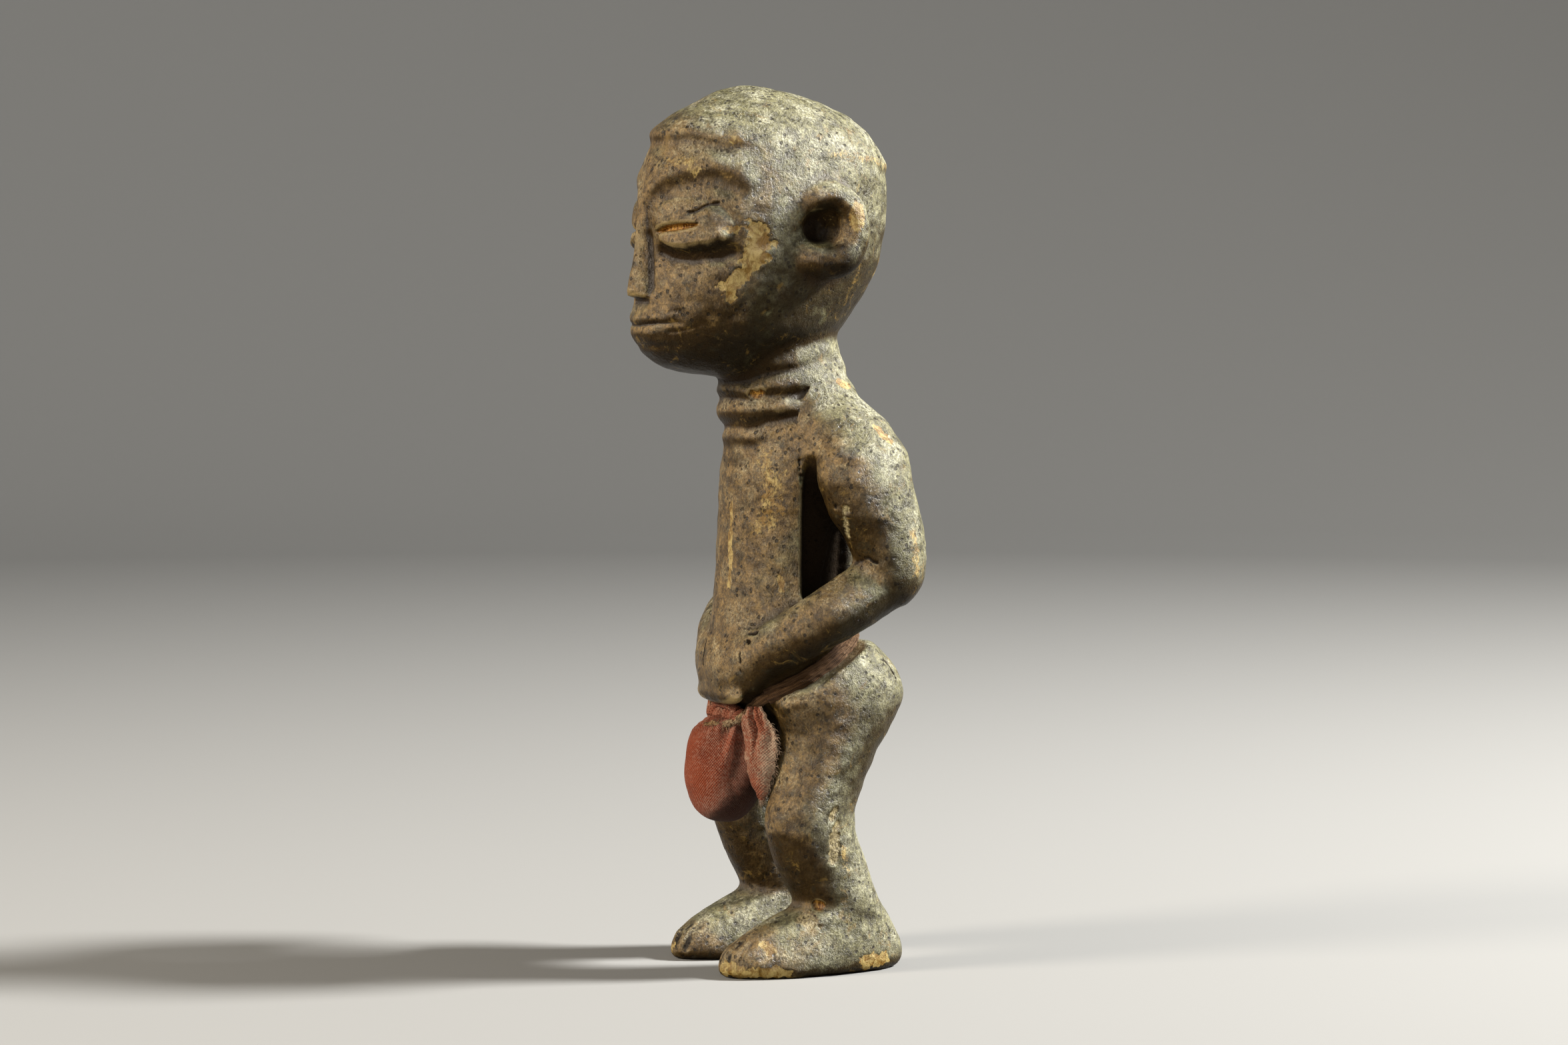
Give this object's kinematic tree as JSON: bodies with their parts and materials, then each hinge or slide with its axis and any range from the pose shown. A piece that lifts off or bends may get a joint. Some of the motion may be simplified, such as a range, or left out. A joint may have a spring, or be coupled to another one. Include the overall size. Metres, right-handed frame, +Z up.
{
  "type": "fertility doll",
  "caption": "Carved standing wooden figure with hands on the belly and a hinged, stuffed red cloth pouch on a tied waist band.",
  "frame": {"origin": "centre of the bounding box, on the plane of the soles", "axes": "+Z up, the figure faces -Y, its left side is +X"},
  "size_m": [0.0976, 0.083, 0.283],
  "materials": {
    "patinated_wood": "crusty satin",
    "band_cloth": "woven, worn",
    "hem_cloth": "rolled hem, dusty",
    "red_cloth": "plain weave",
    "dusty_cloth": "plain weave, dusty",
    "stuffing": "loose fibre"
  },
  "bodies": {
    "figure": {"head": "patinated_wood", "left_ear": "patinated_wood", "right_ear": "patinated_wood", "neck": "patinated_wood", "torso": "patinated_wood", "hips": "patinated_wood", "left_upper_arm": "patinated_wood", "right_upper_arm": "patinated_wood", "left_forearm": "patinated_wood", "right_forearm": "patinated_wood", "left_hand": "patinated_wood", "right_hand": "patinated_wood", "left_thigh": "patinated_wood", "right_thigh": "patinated_wood", "left_calf": "patinated_wood", "right_calf": "patinated_wood", "left_foot": "patinated_wood", "right_foot": "patinated_wood", "waist_band": "band_cloth", "band_knot": "band_cloth", "tie_cord": "band_cloth"},
    "pouch": {"pouch_hem": "hem_cloth", "pouch_cover": "red_cloth", "pouch_stuffing": "stuffing", "left_flap": "dusty_cloth", "right_flap": "dusty_cloth"}
  },
  "joints": [
    {"name": "pouch_lift", "type": "hinge", "parent": "figure", "child": "pouch", "pos_m": [0, -0.0108, 0.0815], "axis": [-1, 0, 0], "range_deg": [0, 45]}
  ]
}
